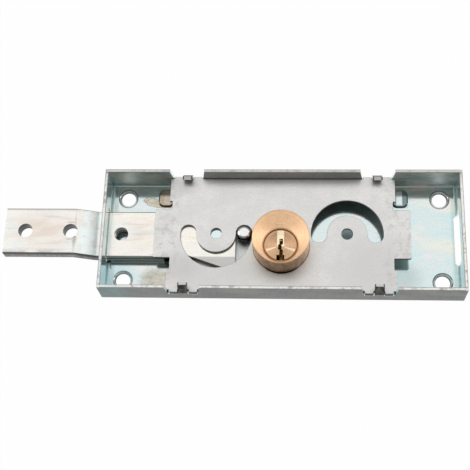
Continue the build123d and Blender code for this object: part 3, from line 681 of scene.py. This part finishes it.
def barrel_finish(look):
    """Turned brass, darker in streaks on its side wall, and with painted shade at its foot beside the cover."""
    f = Finish("turned_barrel")
    tint, rough, normal = turned(f, look.brass, BARREL_Y, 0.29)
    streaked = f.noise(2.2, detail=3.0, roughness=0.6, stretch=(1.0, 1.0, 3.0), shift=3.0)
    wall = (BARREL_FACE - f.z).ramp(0.3, 0.6)
    tint = f.mix(wall * streaked.ramp(0.38, 0.64, 0.35, 0.75), tint, BARREL_WALL)
    # painted shade at the barrel's foot beside the cover
    foot = f.z.fade(COVER_TOP - 0.1, COVER_TOP + 0.5) * f.x.absolute().fade(7.2, 8.2)
    tint = f.mix(foot * 0.85, tint, BARREL_FOOT_SHADE)
    return f.metal(tint, rough.at_least(SMOOTHEST), normal, grooved=RING_GLOSS)


def plug_finish(look):
    """Darker turned brass, whose dish has a painted highlight arm to either side below a field of painted shade.
    """
    f = Finish("turned_plug")
    tint, rough, normal = turned(f, shade(look.brass, 0.72), PLUG_Y, 0.2)
    from_axis = f.y - PLUG_Y
    reach = distance(f.x, from_axis)
    sunk = BARREL_FACE - f.z

    # dish, with its field of painted shade, darkest at the rim, and its two painted highlight arms
    slope = from_axis / (f.x.absolute() + 0.2)
    face = sunk.fade(0.7, 0.9)
    dish = face * reach.fade(6.9, 7.2)
    shaded = slope.ramp(-0.32, -0.2) * reach.ramp(1.5, 6.0, 0.45, 1.0) * dish
    shaded = shaded.at_least(reach.ramp(6.0, 7.2) * 0.8 * face)
    highlight_arm = slope.apart(-0.4).fade(0.02, 0.16) * reach.ramp(1.8, 2.6) * dish
    tint = f.mix(shaded * 0.45, tint, DISH_SHADE)
    tint = f.mix(highlight_arm * 0.85, tint, DISH_ARM_HIGHLIGHT)

    # guide above the keyway, smoother and with a painted highlight, the keyway's walls, and painted shade in its
    # mouth
    guide = f.x.absolute().fade(1.55, 1.7) * from_axis.ramp(-0.5, -0.2)
    guide = guide * sunk.fade(1.04, 1.12) * sunk.ramp(0.85, 0.95)
    tint = f.mix(guide, tint, KEY_GUIDE_HIGHLIGHT)
    tint = f.mix(sunk.ramp(1.2, 6.0) * from_axis.ramp(-5.6, -4.6), tint, KEYWAY_WALL)
    tint = f.mix(sunk.ramp(0.7, 1.1) * from_axis.fade(-4.9, -4.6) * 0.95, tint, KEYWAY_MOUTH_SHADE)
    rough = (rough - guide * 0.25).at_least(SMOOTHEST)
    return f.metal(tint, rough, normal, grooved=RING_GLOSS)


# Painted shade on the sides of the crank pin
PIN_SIDE_SHADE = (0.03, 0.03, 0.03)


def small_metal(name, colour, roughness, depth=0.003, shaded_sides=False):
    """Small turned, drawn or blanked pieces: faint specks and handling marks, and painted shade on their sides
    where asked.
    """
    f = Finish(name)
    specks = f.noise(0.6, detail=3.0, roughness=0.65)
    clouds = f.noise(4.2, shift=3.0)
    tint = f.mix(specks.ramp(0.3, 0.72) * 0.35, colour, shade(colour, 0.75))
    tint = f.mix(clouds.ramp(0.45, 0.7) * 0.3, tint, shade(colour, 0.85))
    if shaded_sides:
        # painted shade on every face that does not look up
        _, _, up = f.facing()
        tint = f.mix(up.fade(0.55, 0.93), tint, PIN_SIDE_SHADE)
    rough = roughness + (specks - 0.5) * 0.14
    return f.metal(tint, rough.at_least(SMOOTHEST_SMALL), f.bump(specks, depth))


# Meshes: lengths in millimetres and angles in degrees

WELD_DISTANCE = 0.002
FLAT_ANGLE = 0.2
SHARP_ANGLE = 30.0
EASE_SEGMENTS = 2


def welded(node):
    """A copy of a CAD node's triangles with its doubles merged and its flat faces joined."""
    bm = bmesh.new()
    bm.from_mesh(NODES[node].data)
    bmesh.ops.remove_doubles(bm, verts=bm.verts, dist=WELD_DISTANCE * MM)
    bmesh.ops.dissolve_limit(bm, angle_limit=math.radians(FLAT_ANGLE), verts=bm.verts, edges=bm.edges)
    return bm


def new_piece(name, bm, material):
    mesh = bpy.data.meshes.new(name)
    bm.to_mesh(mesh)
    bm.free()
    mesh.materials.clear()
    mesh.materials.append(material)
    piece = bpy.data.objects.new(name, mesh)
    bpy.context.scene.collection.objects.link(piece)
    return piece


def settle(piece):
    """The piece's modifiers made part of its mesh, and the way each face looks noted on it."""
    bpy.context.view_layer.update()
    finished = bpy.data.meshes.new_from_object(piece.evaluated_get(bpy.context.evaluated_depsgraph_get()))
    finished.name = piece.name
    piece.modifiers.clear()
    piece.data = finished
    facing = finished.attributes.new("facing", "FLOAT_VECTOR", "FACE")
    for face in finished.polygons:
        facing.data[face.index].vector = face.normal


def eased(node, name, material, body, ease):
    """The CAD node's shape with its sharp edges eased as tumbling and plating leave them."""
    piece = new_piece(name, welded(node), material)
    piece.data.shade_smooth()
    bevel = piece.modifiers.new("Eased edges", "BEVEL")
    bevel.width = ease * MM
    bevel.segments = EASE_SEGMENTS
    bevel.limit_method = "ANGLE"
    bevel.angle_limit = math.radians(SHARP_ANGLE)
    bevel.use_clamp_overlap = True
    bevel.miter_outer = "MITER_ARC"
    normals = piece.modifiers.new("Flat faces", "WEIGHTED_NORMAL")
    normals.keep_sharp = True
    settle(piece)
    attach(piece, body)
    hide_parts(node)


class Tree(Nodes):
    """A Geometry Nodes tree with named inputs."""

    def __init__(self, name):
        super().__init__(bpy.data.node_groups.new(name, "GeometryNodeTree"))
        self.tree.interface.new_socket(name="Geometry", in_out="OUTPUT", socket_type="NodeSocketGeometry")
        self.identifiers = {}

    def value(self, label, kind, default=None):
        """A named input of the tree."""
        item = self.tree.interface.new_socket(name=label, in_out="INPUT", socket_type=kind)
        if default is not None:
            item.default_value = default
        self.identifiers[label] = item.identifier
        return self.node("NodeGroupInput", out=label)

    def finish(self, geometry, material):
        """Ends the tree in plain mesh of one material."""
        real = self.node("GeometryNodeRealizeInstances", values={"Geometry": geometry})
        smooth = self.node("GeometryNodeSetShadeSmooth", values={"Geometry": real})
        painted = self.node("GeometryNodeSetMaterial", values={"Geometry": smooth, "Material": material})
        self.node("NodeGroupOutput", values={"Geometry": painted}, out=None)

    def grow(self, name, values, material):
        """A piece made by the tree, with its inputs set by their identifiers and one material slot."""
        piece = new_piece(name, bmesh.new(), material)
        modifier = piece.modifiers.new(name, "NODES")
        modifier.node_group = self.tree
        for label, value in values.items():
            modifier[self.identifiers[label]] = value
        settle(piece)
        piece.data.materials.clear()
        piece.data.materials.append(material)
        return piece


def coil_tree():
    """Wire of a few or of many sides, wound into a helix and repeated in a row."""
    tree = Tree("coiled_wire")
    radius = tree.value("Coil radius", "NodeSocketFloat")
    length = tree.value("Length", "NodeSocketFloat")
    turns = tree.value("Turns", "NodeSocketFloat")
    wire = tree.value("Wire radius", "NodeSocketFloat")
    sides = tree.value("Wire sides", "NodeSocketInt", 8)
    steps = tree.value("Steps in a turn", "NodeSocketInt", 28)
    copies = tree.value("Copies", "NodeSocketInt", 1)
    start = tree.value("Start", "NodeSocketVector")
    step = tree.value("Step", "NodeSocketVector")
    lay = tree.value("Lay along", "NodeSocketRotation")
    material = tree.value("Material", "NodeSocketMaterial")
    values = {
        "Resolution": steps,
        "Rotations": turns,
        "Start Radius": radius,
        "End Radius": radius,
        "Height": length,
    }
    spiral = tree.node("GeometryNodeCurveSpiral", values=values)
    section = tree.node("GeometryNodeCurvePrimitiveCircle", values={"Resolution": sides, "Radius": wire})
    values = {"Curve": spiral, "Profile Curve": section, "Fill Caps": True}
    coil = tree.node("GeometryNodeCurveToMesh", values=values)
    values = {"Count": copies, "Start Location": start, "Offset": step}
    row = tree.node("GeometryNodeMeshLine", {"mode": "OFFSET"}, values)
    values = {"Points": row, "Instance": coil, "Rotation": lay}
    tree.finish(tree.node("GeometryNodeInstanceOnPoints", values=values), material)
    return tree


# Sizes and colours that a user would change


class LockFinishSettings(bpy.types.PropertyGroup):
    """Colours of the finishes, and the eased edges of the sheet pieces"""

    zinc: FloatVectorProperty(
        name="Zinc plate", description="Colour of the bright zinc plate",
        subtype="COLOR", default=(0.68, 0.77, 0.77),
    )
    bar: FloatVectorProperty(
        name="Bolt bar", description="Colour of the bolt bar's plate",
        subtype="COLOR", default=(0.88, 0.85, 0.80),
    )
    cover: FloatVectorProperty(
        name="Cover sheet", description="Colour of the matt cover plate",
        subtype="COLOR", default=(0.88, 0.87, 0.85),
    )
    brass: FloatVectorProperty(
        name="Barrel", description="Colour of the turned barrel and plug",
        subtype="COLOR", default=(1.0, 0.64, 0.38),
    )
    wheel: FloatVectorProperty(
        name="Wheels", description="Colour of the gear wheels",
        subtype="COLOR", default=(0.72, 0.76, 0.73),
    )
    edge_ease: FloatProperty(
        name="Eased edges", description="Width of the eased edges of the sheet pieces",
        default=0.0003, unit="LENGTH",
    )


class LockThreadSettings(bpy.types.PropertyGroup):
    """Sizes of the thread in the bolt bar and of the pin springs"""

    pitch: FloatProperty(
        name="Pitch", description="Rise of the thread in one turn", default=0.00125, unit="LENGTH"
    )
    depth: FloatProperty(
        name="Depth", description="Height of the thread's ridge", default=0.0004, unit="LENGTH"
    )
    spring_wire: FloatProperty(
        name="Spring wire", description="Radius of the wire of the pin springs",
        default=0.00014, unit="LENGTH",
    )
    spring_turns: IntProperty(name="Spring turns", description="Turns of each pin spring", default=9, min=2)


class LockStageSettings(bpy.types.PropertyGroup):
    """Lamps, room and floor"""

    lamp: FloatProperty(name="Lamps", description="Strength of the soft lamps", default=1.0, min=0.0)
    room: FloatProperty(name="Room", description="Strength of the light from all round", default=0.5, min=0.0)
    south: FloatProperty(
        name="Dark side", description="Strength of the room on the camera's side, as a share of the rest",
        default=0.6, min=0.0,
    )
    floor: FloatVectorProperty(
        name="Floor", description="Colour of the floor", subtype="COLOR", default=(0.86, 0.86, 0.86)
    )


# Operators: widths of the eased edges in millimetres, and the colours and sizes of the small pieces

BAR_EASE = 0.3
WHEEL_EASE = 0.12
BARREL_EASE = 0.12
PIN_EASE = 0.1
PLUG_EASE = 0.1
RING_EASE = 0.08
SCREW_EASE = 0.08
TUMBLER_EASE = 0.05
POLISHED_PIN = (0.84, 0.84, 0.84)
SPRING_STEEL = (0.42, 0.42, 0.43)
PLATED_SCREW = (0.66, 0.67, 0.66)
DRAWN_BRASS = (0.82, 0.64, 0.32)
HARD_STEEL = (0.6, 0.6, 0.6)
SPRING_WIRE = (0.45, 0.45, 0.46)
THREAD_SIDES = 4
THREAD_STEPS = 48


class LOCK_OT_sheet_pieces(bpy.types.Operator):
    """Finish the folded case and the cover plate"""

    bl_idname = "lock.sheet_pieces"
    bl_label = "Case and cover"

    def execute(self, context):
        look = context.scene.lock_finish
        ease = look.edge_ease / MM
        eased("case", "folded_case", case_finish(look), "housing", ease)
        eased("cover_plate", "notched_cover", cover_finish(look), "housing", ease)
        return {"FINISHED"}


class LOCK_OT_bolt(bpy.types.Operator):
    """Finish the bolt bar"""

    bl_idname = "lock.bolt"
    bl_label = "Bolt bar"

    def execute(self, context):
        bar = bar_finish(context.scene.lock_finish)
        eased("bolt_bar", "joggled_bolt", bar, "bolt", BAR_EASE)
        thread = context.scene.lock_thread
        length = (BAR_THICKNESS - 2 * THREAD_INSET) * MM
        sizes = {
            "Coil radius": THREAD_RADIUS * MM,
            "Length": length,
            "Turns": length / thread.pitch,
            "Wire radius": thread.depth,
            "Wire sides": THREAD_SIDES,
            "Steps in a turn": THREAD_STEPS,
            "Start": [TAPPED_X * MM, 0.0, (BAR_UNDERSIDE + THREAD_INSET) * MM],
            "Material": bar,
        }
        ridge = coil_tree().grow("tapped_thread", sizes, bar)
        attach(ridge, "bolt")
        return {"FINISHED"}


class LOCK_OT_drive(bpy.types.Operator):
    """Finish the gear wheels, the crank pin and the rivet"""

    bl_idname = "lock.drive"
    bl_label = "Drive"

    def execute(self, context):
        look = context.scene.lock_finish
        dull = small_metal("blanked_steel", look.wheel, 0.38)
        eased("crank_wheel", "toothed_crank", dull, "crank", WHEEL_EASE)
        eased("drive_pinion", "plug_pinion", dull, "plug", WHEEL_EASE)
        bright = small_metal("polished_pin", POLISHED_PIN, 0.12, depth=0.001, shaded_sides=True)
        eased("crank_pin", "riveted_pin", bright, "crank", PIN_EASE)
        rivet = small_metal("plated_rivet", look.zinc, 0.3)
        eased("wheel_axle", "axle_rivet", rivet, "housing", WHEEL_EASE)
        return {"FINISHED"}


class LOCK_OT_barrel(bpy.types.Operator):
    """Finish the barrel, its plug, its ring and its screw"""

    bl_idname = "lock.barrel"
    bl_label = "Barrel"

    def execute(self, context):
        look = context.scene.lock_finish
        eased("cylinder_body", "round_barrel", barrel_finish(look), "housing", BARREL_EASE)
        eased("cylinder_plug", "keyed_plug", plug_finish(look), "plug", PLUG_EASE)
        spring = small_metal("oiled_spring_steel", SPRING_STEEL, 0.3)
        eased("retaining_ring", "snap_ring", spring, "plug", RING_EASE)
        screw = small_metal("plated_screw", PLATED_SCREW, 0.3)
        eased("cylinder_screw", "barrel_screw", screw, "housing", SCREW_EASE)
        return {"FINISHED"}


class LOCK_OT_tumblers(bpy.types.Operator):
    """Finish the pin tumblers"""

    bl_idname = "lock.tumblers"
    bl_label = "Tumblers"

    def execute(self, context):
        brass = small_metal("drawn_brass", DRAWN_BRASS, 0.25)
        steel = small_metal("hard_steel", HARD_STEEL, 0.22)
        wire = small_metal("spring_wire", SPRING_WIRE, 0.3)
        for i in range(1, TUMBLERS + 1):
            eased(f"key_pin_{i}", f"pointed_pin_{i}", brass, "plug", TUMBLER_EASE)
            eased(f"driver_pin_{i}", f"upper_pin_{i}", steel, "housing", TUMBLER_EASE)
            eased(f"chamber_stopper_{i}", f"stopper_{i}", brass, "housing", TUMBLER_EASE)
        thread = context.scene.lock_thread
        low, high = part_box("pin_spring_1")
        lowest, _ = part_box(f"pin_spring_{TUMBLERS}")
        radius = thread.spring_wire
        sizes = {
            "Coil radius": (high.x - low.x) / 2 - radius,
            "Length": high.y - low.y - 2 * radius,
            "Turns": float(thread.spring_turns),
            "Wire radius": radius,
            "Copies": TUMBLERS,
            "Start": [0.0, low.y + radius, (low.z + high.z) / 2],
            "Step": [0.0, 0.0, (lowest.z - low.z) / (TUMBLERS - 1)],
            "Lay along": [math.radians(-90), 0.0, 0.0],
            "Material": wire,
        }
        springs = coil_tree().grow("tumbler_springs", sizes, wire)
        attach(springs, "housing")
        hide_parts(*[f"pin_spring_{i}" for i in range(1, TUMBLERS + 1)])
        return {"FINISHED"}


# Stage: half the floor's width in metres, its depth below the lock in millimetres, and how white it looks

FLOOR_REACH = 3.0
FLOOR_DROP = 0.05
FLOOR_WHITENESS = 0.985
# Painted shadow on the floor in the gap beside the bar
SLOT_GAP_SHADOW = (0.03, 0.05, 0.05)
SLOT_GAP_SHADOW_SPOT = (-83.4, -11.6, 1.9, 2.0, 0.35)
ROOM_GREY = (0.8, 0.8, 0.8)
ROOM_FALL = (-0.5, 0.1)


def area_lamp(name, place, target, size, brightness):
    """A soft rectangular lamp whose face looks as bright as it says, where 1 is white."""
    lamp = bpy.data.lights.new(name, "AREA")
    lamp.shape = "RECTANGLE"
    lamp.size, lamp.size_y = size
    lamp.energy = brightness * math.pi * size[0] * size[1]
    holder = bpy.data.objects.new(name, lamp)
    holder.location = place
    aim = Vector(target) - Vector(place)
    holder.rotation_euler = aim.to_track_quat("-Z", "Y").to_euler()
    bpy.context.scene.collection.objects.link(holder)


def floor_finish(colour):
    """Matt for the light, nearly white to the camera, and with a painted shadow in the gap beside the bar in the
    end slot.
    """
    f = Finish("pale_floor")
    # painted shadow on the floor in the gap beside the bar, seen from above only
    gap = f.spot(*SLOT_GAP_SHADOW_SPOT) * f.x.ramp(-84.8, -84.3)
    matt = f.node("ShaderNodeBsdfDiffuse", values={"Color": f.mix(gap, colour, SLOT_GAP_SHADOW)})
    white = f.node("ShaderNodeEmission", values={"Color": rgb(WHITE), "Strength": 1.0})
    seen = f.ray("Camera").at_least(f.ray("Glossy")).at_least(f.ray("Transmission"))
    below = f.node("ShaderNodeNewGeometry", out="Backfacing")
    dark = gap * (1.0 - below)
    f.end("ShaderNodeOutputMaterial", f.shade_by(seen * (1.0 - dark) * FLOOR_WHITENESS, matt, white))
    return f.material


class LOCK_OT_stage(bpy.types.Operator):
    """Lay the floor, hang the lamps and place the camera"""

    bl_idname = "lock.stage"
    bl_label = "Stage"

    def execute(self, context):
        stage = context.scene.lock_stage
        self.lay_floor(stage)
        self.light_room(context, stage)
        for name, place, target, size, brightness in LAMPS:
            area_lamp(name, place, target, size, brightness * stage.lamp)
        self.place_camera(context)
        context.scene.view_settings.view_transform = "Standard"
        return {"FINISHED"}

    def lay_floor(self, stage):
        bm = bmesh.new()
        bmesh.ops.create_grid(bm, x_segments=1, y_segments=1, size=FLOOR_REACH)
        bmesh.ops.translate(bm, verts=bm.verts, vec=(0.0, 0.0, -FLOOR_DROP * MM))
        new_piece("floor", bm, floor_finish(stage.floor))

    def light_room(self, context, stage):
        """White behind everything for the camera, and soft light that is weaker from the camera's side."""
        world = bpy.data.worlds.new("studio")
        context.scene.world = world
        world.use_nodes = True
        sky = Nodes(world.node_tree)
        _, north, _ = sky.parts(sky.node("ShaderNodeTexCoord", out="Generated"))
        strength = north.ramp(*ROOM_FALL, stage.south * stage.room, stage.room)
        room = sky.node("ShaderNodeBackground", values={"Color": rgb(ROOM_GREY), "Strength": strength})
        white = sky.node("ShaderNodeBackground", values={"Color": rgb(WHITE)})
        sky.end("ShaderNodeOutputWorld", sky.shade_by(sky.ray("Camera"), room, white))

    def place_camera(self, context):
        camera = bpy.data.cameras.new("camera")
        camera.sensor_fit = "HORIZONTAL"
        camera.sensor_width = SENSOR_WIDTH
        camera.lens = FOCAL_PIXELS / IMAGE_SIZE * SENSOR_WIDTH
        camera.clip_start, camera.clip_end = [reach * MM for reach in CAMERA_SEES]
        holder = bpy.data.objects.new("camera", camera)
        turn = Euler([math.radians(angle) for angle in CAMERA_TURN], "XYZ")
        holder.matrix_world = Matrix.LocRotScale(Vector(CAMERA_PLACE) * MM, turn, None)
        context.scene.collection.objects.link(holder)
        context.scene.camera = holder


class LOCK_PT_panel(bpy.types.Panel):
    """Lists the lock's operators and settings"""

    bl_idname = "LOCK_PT_panel"
    bl_label = "Shutter Lock"
    bl_space_type = "VIEW_3D"
    bl_region_type = "UI"
    bl_category = "Shutter Lock"

    def draw(self, context):
        for operator in OPERATORS:
            self.layout.operator(operator.bl_idname)
        for group in ("lock_finish", "lock_thread", "lock_stage"):
            settings = getattr(context.scene, group)
            box = self.layout.box()
            for name in settings.__annotations__:
                box.prop(settings, name)


SETTINGS = (LockFinishSettings, LockThreadSettings, LockStageSettings)
OPERATORS = (
    LOCK_OT_sheet_pieces,
    LOCK_OT_bolt,
    LOCK_OT_drive,
    LOCK_OT_barrel,
    LOCK_OT_tumblers,
    LOCK_OT_stage,
)
CLASSES = SETTINGS + OPERATORS + (LOCK_PT_panel,)


def register():
    for cls in CLASSES:
        bpy.utils.register_class(cls)
    bpy.types.Scene.lock_finish = PointerProperty(type=LockFinishSettings)
    bpy.types.Scene.lock_thread = PointerProperty(type=LockThreadSettings)
    bpy.types.Scene.lock_stage = PointerProperty(type=LockStageSettings)


def unregister():
    for name in ("lock_finish", "lock_thread", "lock_stage"):
        delattr(bpy.types.Scene, name)
    for cls in reversed(CLASSES):
        bpy.utils.unregister_class(cls)


def main():
    register()
    bpy.ops.lock.sheet_pieces()
    bpy.ops.lock.bolt()
    bpy.ops.lock.drive()
    bpy.ops.lock.barrel()
    bpy.ops.lock.tumblers()
    bpy.ops.lock.stage()


if __name__ == "__main__":
    main()
